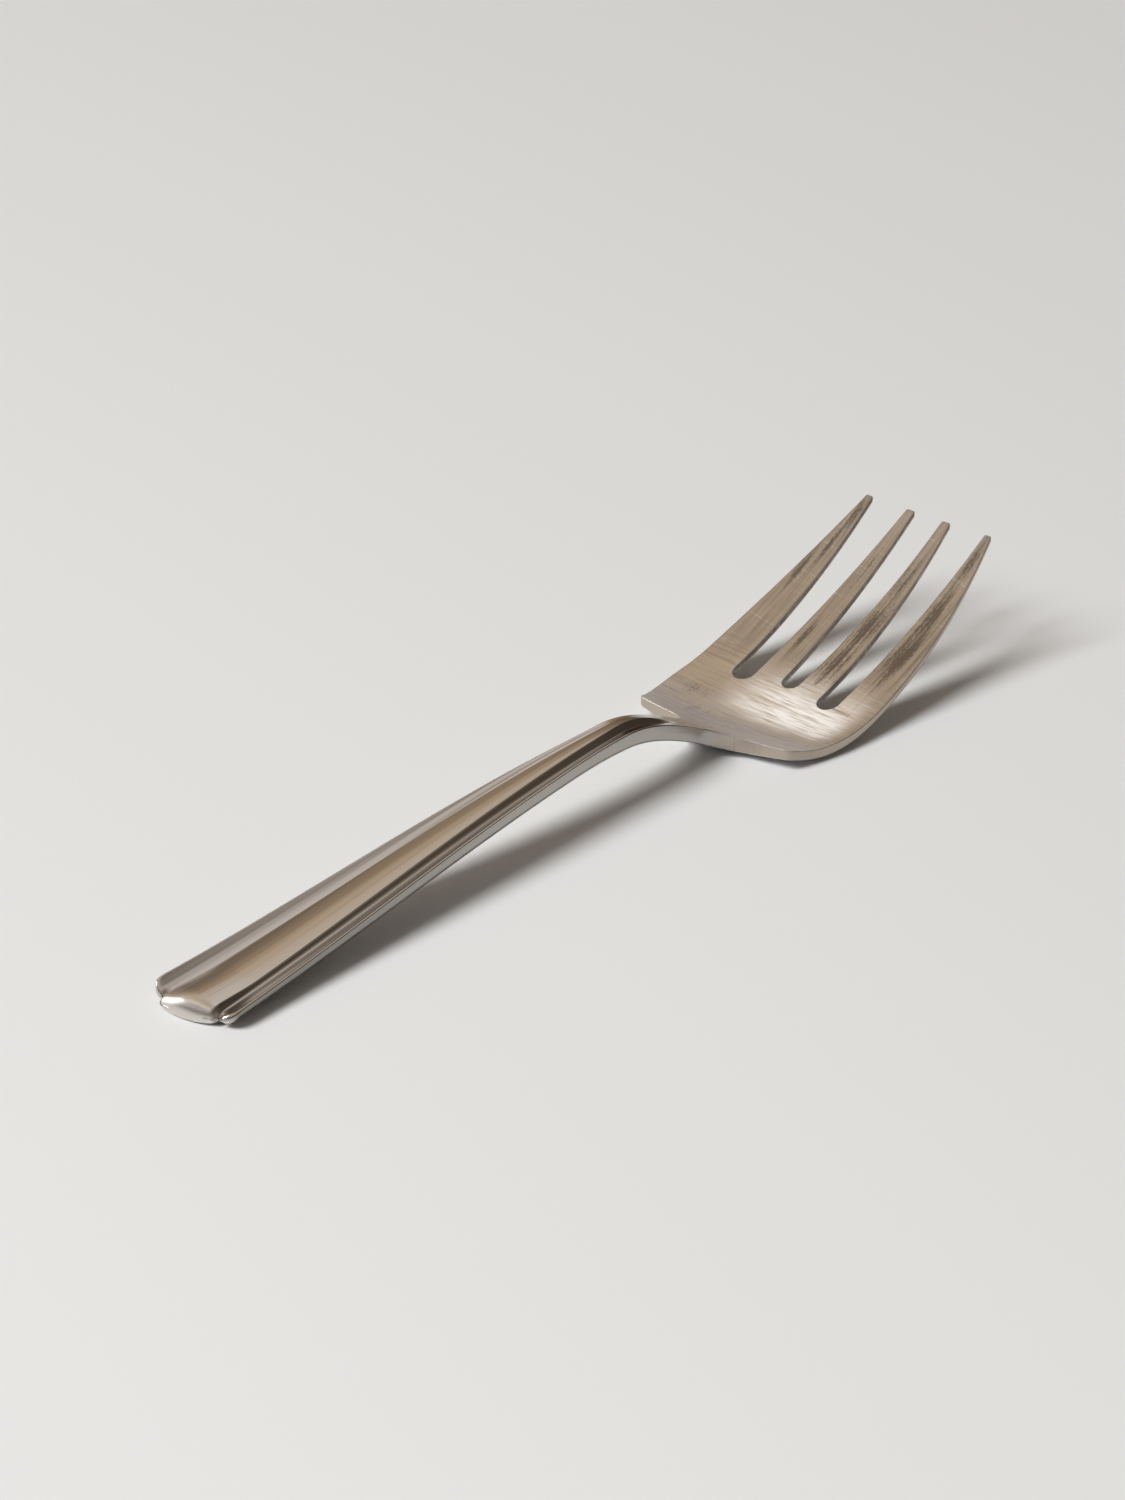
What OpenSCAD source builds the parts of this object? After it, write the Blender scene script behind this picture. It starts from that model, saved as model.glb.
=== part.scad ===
// Serving fork pressed from one blank of stainless steel, in millimetres.
// +X runs from the handle's end to the tips, +Y to the fork's left and +Z up from the table.
// The origin lies on the table, at the middle of the fork's length.

/* [Lengths] */
// From the end of the handle to the crest of the arch
handle_l = 112.4; // [100:0.2:124]
// From the crest down to the rear edge of the head
neck_l = 27.4; // [25:0.2:32]
// From the rear edge of the head to the belly that rests on the table
heel_l = 10.6; // [9.6:0.2:13]
// From the belly to the tips of the tines
reach_l = 55; // [50:1:62]

/* [Heights] */
// Slope of the handle at its end, in degrees
handle_rise = 3; // [1:0.5:4]
// Height of the handle's top edges at the crest of the arch
crest_h = 14; // [11:0.1:17]
// Height of the head's top at the middle of its rear edge
rear_h = 4.2; // [4:0.1:5]
// Slope of the head at its rear edge, falling to the belly, in degrees
rear_fall = 25; // [18:1:30]
// Height of the head's top at the root of the middle slot
root_h = 3.9; // [3.4:0.1:4.6]
// Slope of the head at the root of the middle slot, in degrees
root_rise = 17; // [13:1:20]
// Height of the tines' top at the tips
tip_h = 24.4; // [19:0.2:29]
// Slope of the tines at the tips, in degrees
tip_rise = 34; // [28:1:40]
// How far the head's sides stand above its middle at the rear
dish_h = 1.2; // [0:0.1:1.4]
// How far the outer tines stand above the middle of the fork
tine_dish_h = 0.35; // [0:0.05:0.6]

/* [Handle] */
// Width of the handle at its end
handle_w = 20; // [16:0.2:22]
// Thickness of the handle's edges at its end
handle_t = 2.5; // [2.2:0.1:3.2]
// Thickness of the handle's edges halfway to the crest
waist_t = 2.5; // [2.2:0.1:3]
// Depth of the bulge across the handle's underside at its end
under_bulge = 2; // [1.2:0.1:2.4]
// Width of the raised panel at the handle's end
panel_w = 11; // [8:0.2:11.4]
// Width of the raised panel at the crest
panel_crest_w = 3.2; // [2:0.1:3.6]
// Height of the step from each flange up to the panel
panel_step = 0.4; // [0.2:0.05:0.8]
// Width of the sloping face of that step
panel_slope = 0.55; // [0.3:0.05:0.8]
// Height of the panel's crown above its edges at the handle's end; it shrinks with the panel's width
panel_crown = 1; // [0.2:0.05:1.2]
// Fall of each flange from its outer rim to the foot of the step
flange_fall = 0.55; // [0.2:0.05:0.8]
// How far the panel's end stands out past the flanges
lobe_out = 1; // [0.9:0.1:1.6]
// How far the handle's end sweeps back from its middle to its sides, seen from above
end_sweep = 1.8; // [0:0.1:2.4]
// Corner radius of the panel's end, seen from above
lobe_corner = 0.8; // [0.4:0.05:0.85]
// Corner radius of the flanges' ends, seen from above
flange_corner = 1.4; // [0.8:0.1:2.4]
// Rounding of the top edge at the end of the panel and the flanges
end_round = 0.9; // [0.6:0.1:1.4]
// Rounding of the lower edge at the end of the handle
end_under_round = 0.5; // [0.3:0.1:0.8]

/* [Neck] */
// Width of the neck
neck_w = 7; // [6:0.2:8]
// Thickness of the neck's edges at the crest
crest_t = 3; // [2.4:0.1:3.4]
// Thickness of the neck where the head begins
neck_t = 3.3; // [2.8:0.1:3.8]
// Length over which the handle's taper eases into the neck's width
taper_ease = 12; // [8:1:20]
// Radius of the fillets from the neck's sides to the rear edge of the head
shoulder_r = 7; // [5:0.5:8]

/* [Head] */
// Width of the head between its rear corners
rear_w = 36.4; // [34:0.2:40]
// Radius of the rear corners
corner_r = 1.8; // [1:0.1:3]
// How far the rear corners lean forward of the fillets
rear_lean = 0.9; // [0.3:0.1:1.4]
// Width of the head where it is widest
head_w = 41.8; // [40.4:0.2:44]
// Distance of the widest place from the belly
widest_from_belly = 7; // [4:0.5:9]
// Thickness of the head's edges
head_t = 2; // [1.7:0.1:2.4]
// Extra thickness that the neck carries into the middle of the rear edge
spine_t = 1.8; // [1:0.1:2]

/* [Tines] */
// Width of the outer slots at their round roots
slot_w = 4.4; // [3.6:0.1:5]
// Width of the middle slot at its round root
middle_slot_w = 3.7; // [2.8:0.1:4]
// Distance from the middle slot to the outer ones at the roots
slot_pitch = 10.15; // [9.8:0.05:11]
// Length of the outer slots
slot_l = 45; // [42:0.5:46]
// How much shorter the middle slot is
middle_short = 2; // [0:0.5:3]
// Distance between the middles of the inner tips
inner_tips = 8.5; // [7.8:0.1:9.6]
// Distance between the middles of the outer tips
outer_tips = 28.4; // [26:0.4:31]
// Width of the inner tips
inner_tip_w = 2; // [1.6:0.1:2.6]
// Width of the outer tips
outer_tip_w = 1.6; // [1.4:0.1:2.4]
// Thickness of the tines at their roots
tine_t = 1.65; // [1.5:0.05:2]
// Thickness at the tips
tip_t = 1.3; // [1.2:0.05:1.7]
// Rounding of the tips' corners, seen from above
tip_round = 0.35; // [0.2:0.05:0.5]

/* [Edges] */
// Bevel along the fork's top edges and along the lower edges of the handle and the head
bevel = 0.3; // [0.2:0.05:0.4]
// Bevel along the tines' lower edges
under_bevel = 0.5; // [0.3:0.05:0.55]

/* [Hidden] */
steel = [0.66, 0.63, 0.59];
// Depth of the flat wear marks where the handle's end and the belly rest on the table
wear = 0.2;
// Places along the fork, measured from the handle's end
crest_x = handle_l;
rear_x = crest_x + neck_l;
belly_x = rear_x + heel_l;
tip_x = belly_x + reach_l;
fork_l = tip_x;
// The neck's zone starts where the taper eases off, the head's zone just behind its fillets
fillet_lead = 2;
neck_x = crest_x - taper_ease;
fillet_x = rear_x - shoulder_r;
head_x = fillet_x - fillet_lead;
corner_x = rear_x + rear_lean + corner_r;
widest_x = belly_x + widest_from_belly;
// The neck's spine runs out under the head at this place
spine_run = 6;
spine_end_x = rear_x + spine_run;
// The slots: the deepest point of each root, the row where the head's lines begin to bend round
// the roots, and the plane where the tines begin
fan_lead = 3;
tine_lead = 1;
outer_root_x = tip_x - slot_l;
middle_root_x = outer_root_x + middle_short;
fan_x = outer_root_x - fan_lead;
tine_x = max(outer_root_x + slot_w / 2, middle_root_x + middle_slot_w / 2) + tine_lead;
// Numbers of steps along the fork, round an arc and across a slot
handle_steps = 26;
neck_steps = 12;
arc_steps = 6;
heel_steps = 8;
fan_steps = 4;
tine_steps = 20;
slot_steps = 6;

// Smooth step from 0 at a to 1 at b
function ease(x, a, b) = let (t = min(1, max(0, (x - a) / (b - a)))) t * t * (3 - 2 * t);

// Value at x on a chain of cubic curves through stations of place, value and slope
function cubic(t, d, p, q) =
    p[1] * (1 - t) * (1 - t) * (1 + 2 * t) + q[1] * t * t * (3 - 2 * t)
    + d * (p[2] * t * (1 - t) * (1 - t) - q[2] * t * t * (1 - t));
function on_chain(x, s, k = 0) =
    x > s[k + 1][0] && k < len(s) - 2
    ? on_chain(x, s, k + 1)
    : cubic((x - s[k][0]) / (s[k + 1][0] - s[k][0]), s[k + 1][0] - s[k][0], s[k], s[k + 1]);

// Side profile: the height of the top edges, from the handle's end over the crest and the belly to the tips
profile = [
    [0, handle_t + under_bulge - wear, tan(handle_rise)],
    [crest_x, crest_h, 0],
    [rear_x, rear_h, -tan(rear_fall)],
    [belly_x, head_t - wear, 0],
    [middle_root_x, root_h, tan(root_rise)],
    [tip_x, tip_h, tan(tip_rise)],
];
function edge_z(x) = on_chain(x, profile);

// Thickness of the edges along the fork
gauge = [
    [0, handle_t, 0],
    [crest_x / 2, waist_t, 0],
    [crest_x, crest_t, 0],
    [head_x, neck_t, 0],
    [rear_x, head_t, 0],
    [belly_x, head_t, 0],
    [middle_root_x, tine_t, 0],
    [tip_x, tip_t, 0],
];
function edge_t(x) = on_chain(x, gauge);

// Half the width of the handle and neck: a straight taper that eases into the neck
taper = (handle_w - neck_w) / 2 / (crest_x - taper_ease / 2);
function handle_half(x) =
    let (past = max(0, min(taper_ease, x - neck_x)))
    handle_w / 2 - taper * min(x, crest_x) + taper * past * past / taper_ease / 2;

// Half the width of the head: widest a little in front of the belly, drawn in to corners and tips
tip_half = (outer_tips + outer_tip_w) / 2;
function head_half(x) =
    let (back = x < widest_x)
    let (end_half = back ? rear_w / 2 : tip_half)
    let (end_x = back ? corner_x : tip_x)
    head_w / 2 - (head_w / 2 - end_half) * pow((x - widest_x) / (end_x - widest_x), 2);

// How far a rounded corner of radius r has drawn in at distance d from its end
function drawn_in(d, r) = r - sqrt(max(0, r * r - pow(max(0, r - d), 2)));

// Solid between two grids of points, for the cells that are live; i counts along +X and j along +Y
module sheet(top, bottom, live) {
    ni = len(top);
    nj = len(top[0]);
    half = ni * nj;
    function t(i, j) = i * nj + j;
    function b(i, j) = half + i * nj + j;
    function is_live(i, j) = i >= 0 && j >= 0 && i < ni - 1 && j < nj - 1 && live[i][j];
    function quad(p, q, r, s) = [[p, q, r], [p, r, s]];
    function wall(i, j, k, l) = quad(t(i, j), t(k, l), b(k, l), b(i, j));
    faces = [
        for (i = [0 : ni - 2], j = [0 : nj - 2])
            if (live[i][j])
                each concat(
                    quad(t(i, j), t(i, j + 1), t(i + 1, j + 1), t(i + 1, j)),
                    quad(b(i, j), b(i + 1, j), b(i + 1, j + 1), b(i, j + 1)),
                    is_live(i - 1, j) ? [] : wall(i, j + 1, i, j),
                    is_live(i + 1, j) ? [] : wall(i + 1, j, i + 1, j + 1),
                    is_live(i, j - 1) ? [] : wall(i, j, i + 1, j),
                    is_live(i, j + 1) ? [] : wall(i + 1, j + 1, i, j + 1)
                )
    ];
    translate([-fork_l / 2, 0, 0])
        polyhedron([each each top, each each bottom], faces);
}

// Section of the handle and neck, line by line from the middle out: panel, step, flange, bevel and edge
panel_line = 4;
step_line = panel_line + 1;
flange_line = step_line + 1;
bevel_line = flange_line + 1;
edge_line = bevel_line + 1;
panel_taper = (panel_w - panel_crest_w) / 2 / crest_x;
function panel_half(x) = panel_w / 2 - panel_taper * min(x, crest_x);
// The relief fades out down the neck, and the underside's bulge along the whole handle
function relief(x) = 1 - ease(x, crest_x, head_x);
function bulge(x) = under_bulge * (1 - ease(x, 0, head_x));
// The rows near the handle's end are bowed, and straighten over this length
sweep_l = 16;
function sweep(x) = end_sweep * (1 - ease(x, 0, sweep_l));
function line_half(k, x) =
    let (half = handle_half(x) - drawn_in(x - lobe_out, flange_corner))
    let (panel = panel_half(x) - drawn_in(x, lobe_corner))
    k <= panel_line ? panel * k / panel_line
    : k == step_line ? panel + panel_slope
    : k == flange_line ? (panel + panel_slope + half - bevel) / 2
    : k == bevel_line ? half - bevel
    : half;
function crown(x) = panel_crown * panel_half(x) / panel_half(0);
function line_rise(k, x) =
    k <= panel_line ? panel_step + crown(x) * (1 - pow(k / panel_line, 2)) - flange_fall
    : k == step_line ? -flange_fall
    : k == flange_line ? -flange_fall / 2
    : 0;
function handle_top(k, x) =
    edge_z(x) + line_rise(k, x) * relief(x)
    - drawn_in(k <= step_line ? x : x - lobe_out, end_round)
    - (k == edge_line ? bevel : 0);
function handle_bottom(k, x) =
    let (out = line_half(k, x) / handle_half(x))
    max(0, edge_z(x) - edge_t(x) - bulge(x) * (1 - pow(out, 3)))
    + drawn_in(k <= step_line ? x : x - lobe_out, end_under_round)
    + (k == edge_line ? bevel : 0);
module handle_zone(rows) {
    lines = [-edge_line : edge_line];
    function swept(k, x) = x + sweep(x) * pow(line_half(k, x) / handle_half(x), 2);
    function point(j, x, z) = [swept(abs(j), x), sign(j) * line_half(abs(j), x), z];
    top = [for (x = rows) [for (j = lines) point(j, x, handle_top(abs(j), x))]];
    bottom = [for (x = rows) [for (j = lines) point(j, x, handle_bottom(abs(j), x))]];
    // Before the flanges begin, only the panel's end is there
    live = [for (x = rows) [for (j = lines) x >= lobe_out || (j >= -step_line && j < step_line)]];
    sheet(top, bottom, live);
}

module handle() {
    arc = [for (a = [0 : arc_steps]) 1 - cos(90 * a / arc_steps)];
    grip_x = lobe_out + flange_corner;
    lobe_rows = [for (a = arc) lobe_corner * a];
    flange_rows = [for (a = arc) lobe_out + flange_corner * a];
    grip_rows = [for (k = [1 : handle_steps]) grip_x + (neck_x - grip_x) * k / handle_steps];
    color(steel) handle_zone(concat(lobe_rows, flange_rows, grip_rows));
}

module neck() {
    color(steel) handle_zone([for (k = [0 : neck_steps]) neck_x + (head_x - neck_x) * k / neck_steps]);
}

// Edges of the tines in plan, from the right outer edge (0) to the left outer edge (7)
function slot_r(m) = (m == 3 || m == 4) ? middle_slot_w / 2 : slot_w / 2;
function slot_x(m) = ((m == 3 || m == 4) ? middle_root_x : outer_root_x) + slot_r(m);
root_y = [
    -slot_pitch - slot_w / 2,
    -slot_pitch + slot_w / 2,
    -middle_slot_w / 2,
    middle_slot_w / 2,
    slot_pitch - slot_w / 2,
    slot_pitch + slot_w / 2,
];
tip_y = [
    -(outer_tips - outer_tip_w) / 2,
    -(inner_tips + inner_tip_w) / 2,
    -(inner_tips - inner_tip_w) / 2,
    (inner_tips - inner_tip_w) / 2,
    (inner_tips + inner_tip_w) / 2,
    (outer_tips - outer_tip_w) / 2,
];
// The outer slots' sides curve like the sides of the head, those of the middle slot are straight
function tine_edge(m, x) =
    let (along = max(0, x - slot_x(m)) / (tip_x - slot_x(m)))
    m == 0 ? -head_half(x)
    : m == 7 ? head_half(x)
    : root_y[m - 1] + (tip_y[m - 1] - root_y[m - 1]) * pow(along, (m == 3 || m == 4) ? 1 : 2);

// Surface of the head and the tines: dished across, with the neck's spine under its rear
function dish(x) =
    dish_h * ease(x, head_x, corner_x) + (tine_dish_h - dish_h) * ease(x, belly_x, tine_x);
function head_top(x, y) = edge_z(x) + dish(x) * pow(2 * y / head_w, 2);
function spine(x) = spine_t * ease(x, head_x, rear_x) * (1 - ease(x, rear_x, spine_end_x));
function head_bottom(x, y) =
    max(0, head_top(x, y) - edge_t(x) - spine(x) * max(0, 1 - 2 * abs(y) / rear_w));
function lower_bevel(x) = bevel + (under_bevel - bevel) * ease(x, fan_x, tine_x);

// One strip of the head's grid is a tine or a slot: a tine has five lines, a slot those between its sides
function is_tine(m) = m % 2 == 0;
tine_last = 4;
function on_edge(k) = k == 0 || k == tine_last;
tine_strip = [for (k = [0 : tine_last]) k];
slot_strip = [for (k = [1 : slot_steps - 1]) k];
lines = [for (m = [0 : 6]) each [for (k = is_tine(m) ? tine_strip : slot_strip) [m, k]]];
last_line = len(lines) - 1;
function line_y(line, x) =
    let (m = line[0])
    let (k = line[1])
    let (a = tine_edge(m, x))
    let (b = tine_edge(m + 1, x))
    !is_tine(m) ? (a + b) / 2 - (b - a) / 2 * cos(180 * k / slot_steps)
    : k == 0 ? a
    : k == 1 ? a + under_bevel
    : k == 2 ? (a + b) / 2
    : k == 3 ? b - under_bevel
    : b;

module head() {
    arc = [for (a = [0 : arc_steps]) 90 * a / arc_steps];
    // Rows behind the slots, each with its place and half its width
    fillet_rows = [for (a = arc) [fillet_x + shoulder_r * sin(a), neck_w / 2 + shoulder_r * (1 - cos(a))]];
    corner_rows = [for (a = arc) [corner_x - corner_r * cos(a), rear_w / 2 - corner_r * (1 - sin(a))]];
    side_x = [for (k = [1 : heel_steps]) corner_x + (fan_x - corner_x) * k / heel_steps];
    side_rows = [for (x = side_x) [x, head_half(x)]];
    rows = concat([[head_x, neck_w / 2]], fillet_rows, corner_rows, side_rows);
    fan_half = head_half(fan_x);
    // Behind the slots the lines of the tines run together into the neck
    function plain_y(j, row) =
        j == 0 ? -row[1]
        : j == last_line ? row[1]
        : line_y(lines[j], fan_x) * (row[1] - under_bevel) / (fan_half - under_bevel);
    // Round the slots' roots the rows bend, so that each slot ends in a half circle
    function root_x(line) =
        let (m = line[0])
        let (from = slot_x(max(1, m)))
        let (to = slot_x(min(6, m + 1)))
        is_tine(m) ? from + (to - from) * line[1] / tine_last
        : slot_x(m) - slot_r(m) * sin(180 * line[1] / slot_steps);
    function fan_point(line, f) =
        let (x = fan_x + (root_x(line) - fan_x) * f)
        [x, line_y(line, x)];
    function end_point(line) = is_tine(line[0]) ? [tine_x, line_y(line, tine_x)] : fan_point(line, 1);
    plan = concat(
        [for (row = rows) [for (j = [0 : last_line]) [row[0], plain_y(j, row)]]],
        [for (k = [1 : fan_steps]) [for (line = lines) fan_point(line, k / fan_steps)]],
        [[for (line = lines) end_point(line)]]
    );
    // The bevels along the slots start at their roots, those along the sides run all the way
    function fade(j, x) =
        j == 0 || j == last_line ? 1
        : is_tine(lines[j][0]) && on_edge(lines[j][1]) ? ease(x, fan_x, tine_x)
        : 0;
    function top_point(p, j) = [p[0], p[1], head_top(p[0], p[1]) - bevel * fade(j, p[0])];
    function bottom_point(p, j) =
        [p[0], p[1], head_bottom(p[0], p[1]) + lower_bevel(p[0]) * fade(j, p[0])];
    top = [for (r = plan) [for (j = [0 : last_line]) top_point(r[j], j)]];
    bottom = [for (r = plan) [for (j = [0 : last_line]) bottom_point(r[j], j)]];
    // In front of the roots only the tines go on
    root_row = len(plan) - 2;
    live = [
        for (i = [0 : root_row])
            [for (line = lines) i < root_row || (is_tine(line[0]) && line[1] < tine_last)]
    ];
    color(steel) sheet(top, bottom, live);
}

// One tine, from the plane in front of the slots' roots to its blunt tip
module tine(m) {
    straight_l = tip_x - tip_round - tine_x;
    straight_rows = [for (k = [0 : tine_steps]) tine_x + straight_l * k / tine_steps];
    tip_rows = [for (a = [1 : arc_steps]) tip_x - tip_round * (1 - sin(90 * a / arc_steps))];
    rows = concat(straight_rows, tip_rows);
    function y(k, x) = line_y([m, k], x) + sign(tine_last / 2 - k) * drawn_in(tip_x - x, tip_round);
    function top_z(k, x) = head_top(x, y(k, x)) - (on_edge(k) ? bevel : 0);
    function bottom_z(k, x) = head_bottom(x, y(k, x)) + (on_edge(k) ? under_bevel : 0);
    top = [for (x = rows) [for (k = tine_strip) [x, y(k, x), top_z(k, x)]]];
    bottom = [for (x = rows) [for (k = tine_strip) [x, y(k, x), bottom_z(k, x)]]];
    live = [for (x = rows) [for (k = tine_strip) true]];
    color(steel) sheet(top, bottom, live);
}

module right_outer_tine() { tine(0); }
module right_inner_tine() { tine(2); }
module left_inner_tine() { tine(4); }
module left_outer_tine() { tine(6); }

handle();
neck();
head();
left_outer_tine();
left_inner_tine();
right_inner_tine();
right_outer_tine();
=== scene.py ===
import math

import bmesh
import bpy
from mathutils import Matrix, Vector


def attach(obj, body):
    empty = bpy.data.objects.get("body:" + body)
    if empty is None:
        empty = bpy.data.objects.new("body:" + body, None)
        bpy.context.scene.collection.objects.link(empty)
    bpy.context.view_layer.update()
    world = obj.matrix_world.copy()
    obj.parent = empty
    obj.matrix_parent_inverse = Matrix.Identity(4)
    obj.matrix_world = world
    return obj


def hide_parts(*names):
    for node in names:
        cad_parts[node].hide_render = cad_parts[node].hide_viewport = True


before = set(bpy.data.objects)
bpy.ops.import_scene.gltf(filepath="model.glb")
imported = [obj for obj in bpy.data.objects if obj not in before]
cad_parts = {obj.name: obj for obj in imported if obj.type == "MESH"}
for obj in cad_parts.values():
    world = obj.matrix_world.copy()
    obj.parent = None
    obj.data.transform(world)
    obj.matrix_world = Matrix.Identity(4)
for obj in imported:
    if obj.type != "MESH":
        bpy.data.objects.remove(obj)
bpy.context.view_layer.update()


# Handle
# The grip is one end of a blank of stainless steel sheet. A die coins a crowned panel between two flanges
# and leaves the panel's end standing out past them; the top is then polished lengthwise.
# Sizes are in millimetres and angles in degrees; places are measured from the handle's end.
fork_l = 205.4
handle_l = 112.4
handle_w = 19.4
neck_w = 7.0
taper_ease = 12.0
neck_from = handle_l - taper_ease
head_from = 130.8

# Side profile and thickness of the edges
handle_rise = 3.0
handle_edge = 3.2
waist_edge = 3.3
crest_h = 14.0
crest_edge = 3.4
neck_edge = 3.3
rear_at, rear_h, rear_fall = 139.8, 4.2, 25.0
under_bulge = 1.0
table_wear = 0.2
handle_twist = 2.6
handle_bend = 1.5

# Relief of the top: crowned panel, step and flanges, which fade out past the crest
panel_w = 10.3
panel_crest_w = 1.6
panel_step = 0.9
crest_step = 1.25
panel_slope = 0.85
panel_crown = 1.0
crown_taper = 1.6
ridge_round = 0.33
flange_fall = 2.2
fall_fade = 0.85
flange_hollow = 0.25
right_flatness = 0.55
flatness_fade = 0.7
relief_past = 5.0

# End: the panel's lobe, a notch on each side of it and the flanges' corners
lobe_w = 12.6
lobe_out = 1.1
lobe_corner = 1.2
lobe_bow = 1.2
lobe_skew = 0.7
lobe_lift = 0.6
lift_from, lift_to = 1.0, 14.0
notch_depth = 0.9
notch_w = 0.5
flange_corner = 2.0

# Rounding of the cut edges
edge_round = 0.3
end_round = 2.8
end_round_from, end_round_to = 1.6, 6.0
flange_end_share, flange_end_blend = 0.25, 0.7
most_round = 0.6
handle_under_round = 1.5

# Places of the sheet's lines: distances from a cut edge, which make its rounding smooth, and shares of the
# panel's and the flange's width
rim_lines = [0, 0.012, 0.045, 0.1, 0.17, 0.25, 0.34]
panel_lines = [0, 0.14, 0.28, 0.42, 0.56, 0.68, 0.78, 0.86, 0.91, 0.95, 0.98, 1]
flange_lines = [0.025, 0.06, 0.1, 0.14, 0.18, 0.24, 0.32, 0.42, 0.54, 0.66, 0.76, 0.85, 0.92, 0.97]


def drawn_in(distance, radius):
    """How far a rounded corner has drawn in at a distance from its end."""
    return radius - math.sqrt(max(0.0, radius ** 2 - max(0.0, radius - distance) ** 2))


def spread(first, last, steps):
    """Even steps from the first value, which is left out, to the last."""
    return [first + (last - first) * k / steps for k in range(1, steps + 1)]


def handle_half(x):
    """Half of the handle's width: a straight taper that eases into the neck."""
    taper = (handle_w - neck_w) / 2 / (handle_l - taper_ease / 2)
    past = max(0.0, min(taper_ease, x - neck_from))
    return handle_w / 2 - taper * min(x, handle_l) + taper * past ** 2 / taper_ease / 2


def panel_half(x):
    """Half of the panel's width, which tapers to the crest."""
    return panel_w / 2 - (panel_w - panel_crest_w) / 2 / handle_l * min(x, handle_l)


def handle_lines(x):
    """Distances from the middle of the handle to its lines: panel, step, flange and rim."""
    panel, half = panel_half(x), handle_half(x)
    foot = panel + panel_slope
    reach = half - rim_lines[-1]
    lines = [panel * k for k in panel_lines]
    lines += spread(panel, foot - 0.05, 8) + [foot]
    lines += [foot + (reach - foot) * k for k in flange_lines]
    lines += [half - inset for inset in reversed(rim_lines)]
    return [-y for y in reversed(lines[1:])] + lines


def handle_end(y):
    """Place where the handle's end is cut, across its width: lobe, notch and flange."""
    across, lobe, half = abs(y), lobe_w / 2, handle_half(0)
    if across <= lobe:
        return lobe_bow * (across / lobe) ** 2 + drawn_in(lobe - across, lobe_corner) - lobe_skew * y / lobe
    lobe_end = lobe_bow + lobe_corner - math.copysign(lobe_skew, y)
    flange_end = lobe_bow + lobe_out + drawn_in(half - across, flange_corner)
    share = min(1.0, (across - lobe) / notch_w)
    return lobe_end + (flange_end - lobe_end) * share + notch_depth * math.sin(math.pi * share)


def blank(name, rows, live=None):
    """Flat sheet cut to a plan given as rows of points in millimetres from the handle's end."""
    across = len(rows[0])
    cells = [(i, j) for i in range(len(rows) - 1) for j in range(across - 1) if live is None or live(i, j)]
    used = {}
    corners = []
    for i, j in cells:
        for at in ((i, j), (i + 1, j), (i + 1, j + 1), (i, j + 1)):
            corners.append(used.setdefault(at, len(used)))
    points = [((rows[i][j][0] - fork_l / 2) / 1000, rows[i][j][1] / 1000, 0.0) for i, j in used]
    mesh = bpy.data.meshes.new(name)
    mesh.from_pydata(points, [], [corners[k:k + 4] for k in range(0, len(corners), 4)])
    return mesh


class Field:
    """A size that changes over the sheet, worked out by nodes."""

    def __init__(self, socket):
        self.socket = socket

    def __add__(self, other):
        return work_out("ADD", self, other)

    def __radd__(self, other):
        return work_out("ADD", other, self)

    def __sub__(self, other):
        return work_out("SUBTRACT", self, other)

    def __rsub__(self, other):
        return work_out("SUBTRACT", other, self)

    def __mul__(self, other):
        return work_out("MULTIPLY", self, other)

    def __rmul__(self, other):
        return work_out("MULTIPLY", other, self)

    def __truediv__(self, other):
        return work_out("DIVIDE", self, other)

    def __pow__(self, other):
        return work_out("POWER", self, other)

    def __abs__(self):
        return work_out("ABSOLUTE", self)


def plug(pin, value):
    """Links a field to a socket, or sets the socket to a plain value."""
    if isinstance(value, Field):
        pin.id_data.links.new(value.socket, pin)
    else:
        pin.default_value = value


def work_out(operation, *values):
    """One sum on fields and plain values, as a Math node."""
    tree = next(v.socket.id_data for v in values if isinstance(v, Field))
    node = tree.nodes.new("ShaderNodeMath")
    node.operation = operation
    for pin, value in zip(node.inputs, values):
        plug(pin, value)
    return Field(node.outputs[0])


def share_of(x, start, end, smooth=False):
    """From 0 at start to 1 at end, straight or smoothly."""
    node = x.socket.id_data.nodes.new("ShaderNodeMapRange")
    node.interpolation_type = "SMOOTHSTEP" if smooth else "LINEAR"
    for pin, value in zip(node.inputs, (x, start, end)):
        plug(pin, value)
    return Field(node.outputs[0])


def along(x, stations):
    """Value at x on smooth curves through stations of place, value and slope."""
    value = stations[0][1]
    for (a, low, leave), (b, high, arrive) in zip(stations, stations[1:]):
        t = share_of(x, a, b)
        leave, arrive, rise = leave * (b - a), arrive * (b - a), high - low
        bend = (rise * 3 - leave * 2 - arrive) + t * (leave + arrive - rise * 2)
        value = value + t * (leave + t * bend)
    return value


def rounded(rim, radius):
    """How far a rounded edge has fallen at a distance from the cut."""
    left = work_out("MAXIMUM", radius - rim, 0.0)
    return radius - work_out("SQRT", work_out("MAXIMUM", radius * radius - left * left, 0.0))


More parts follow.
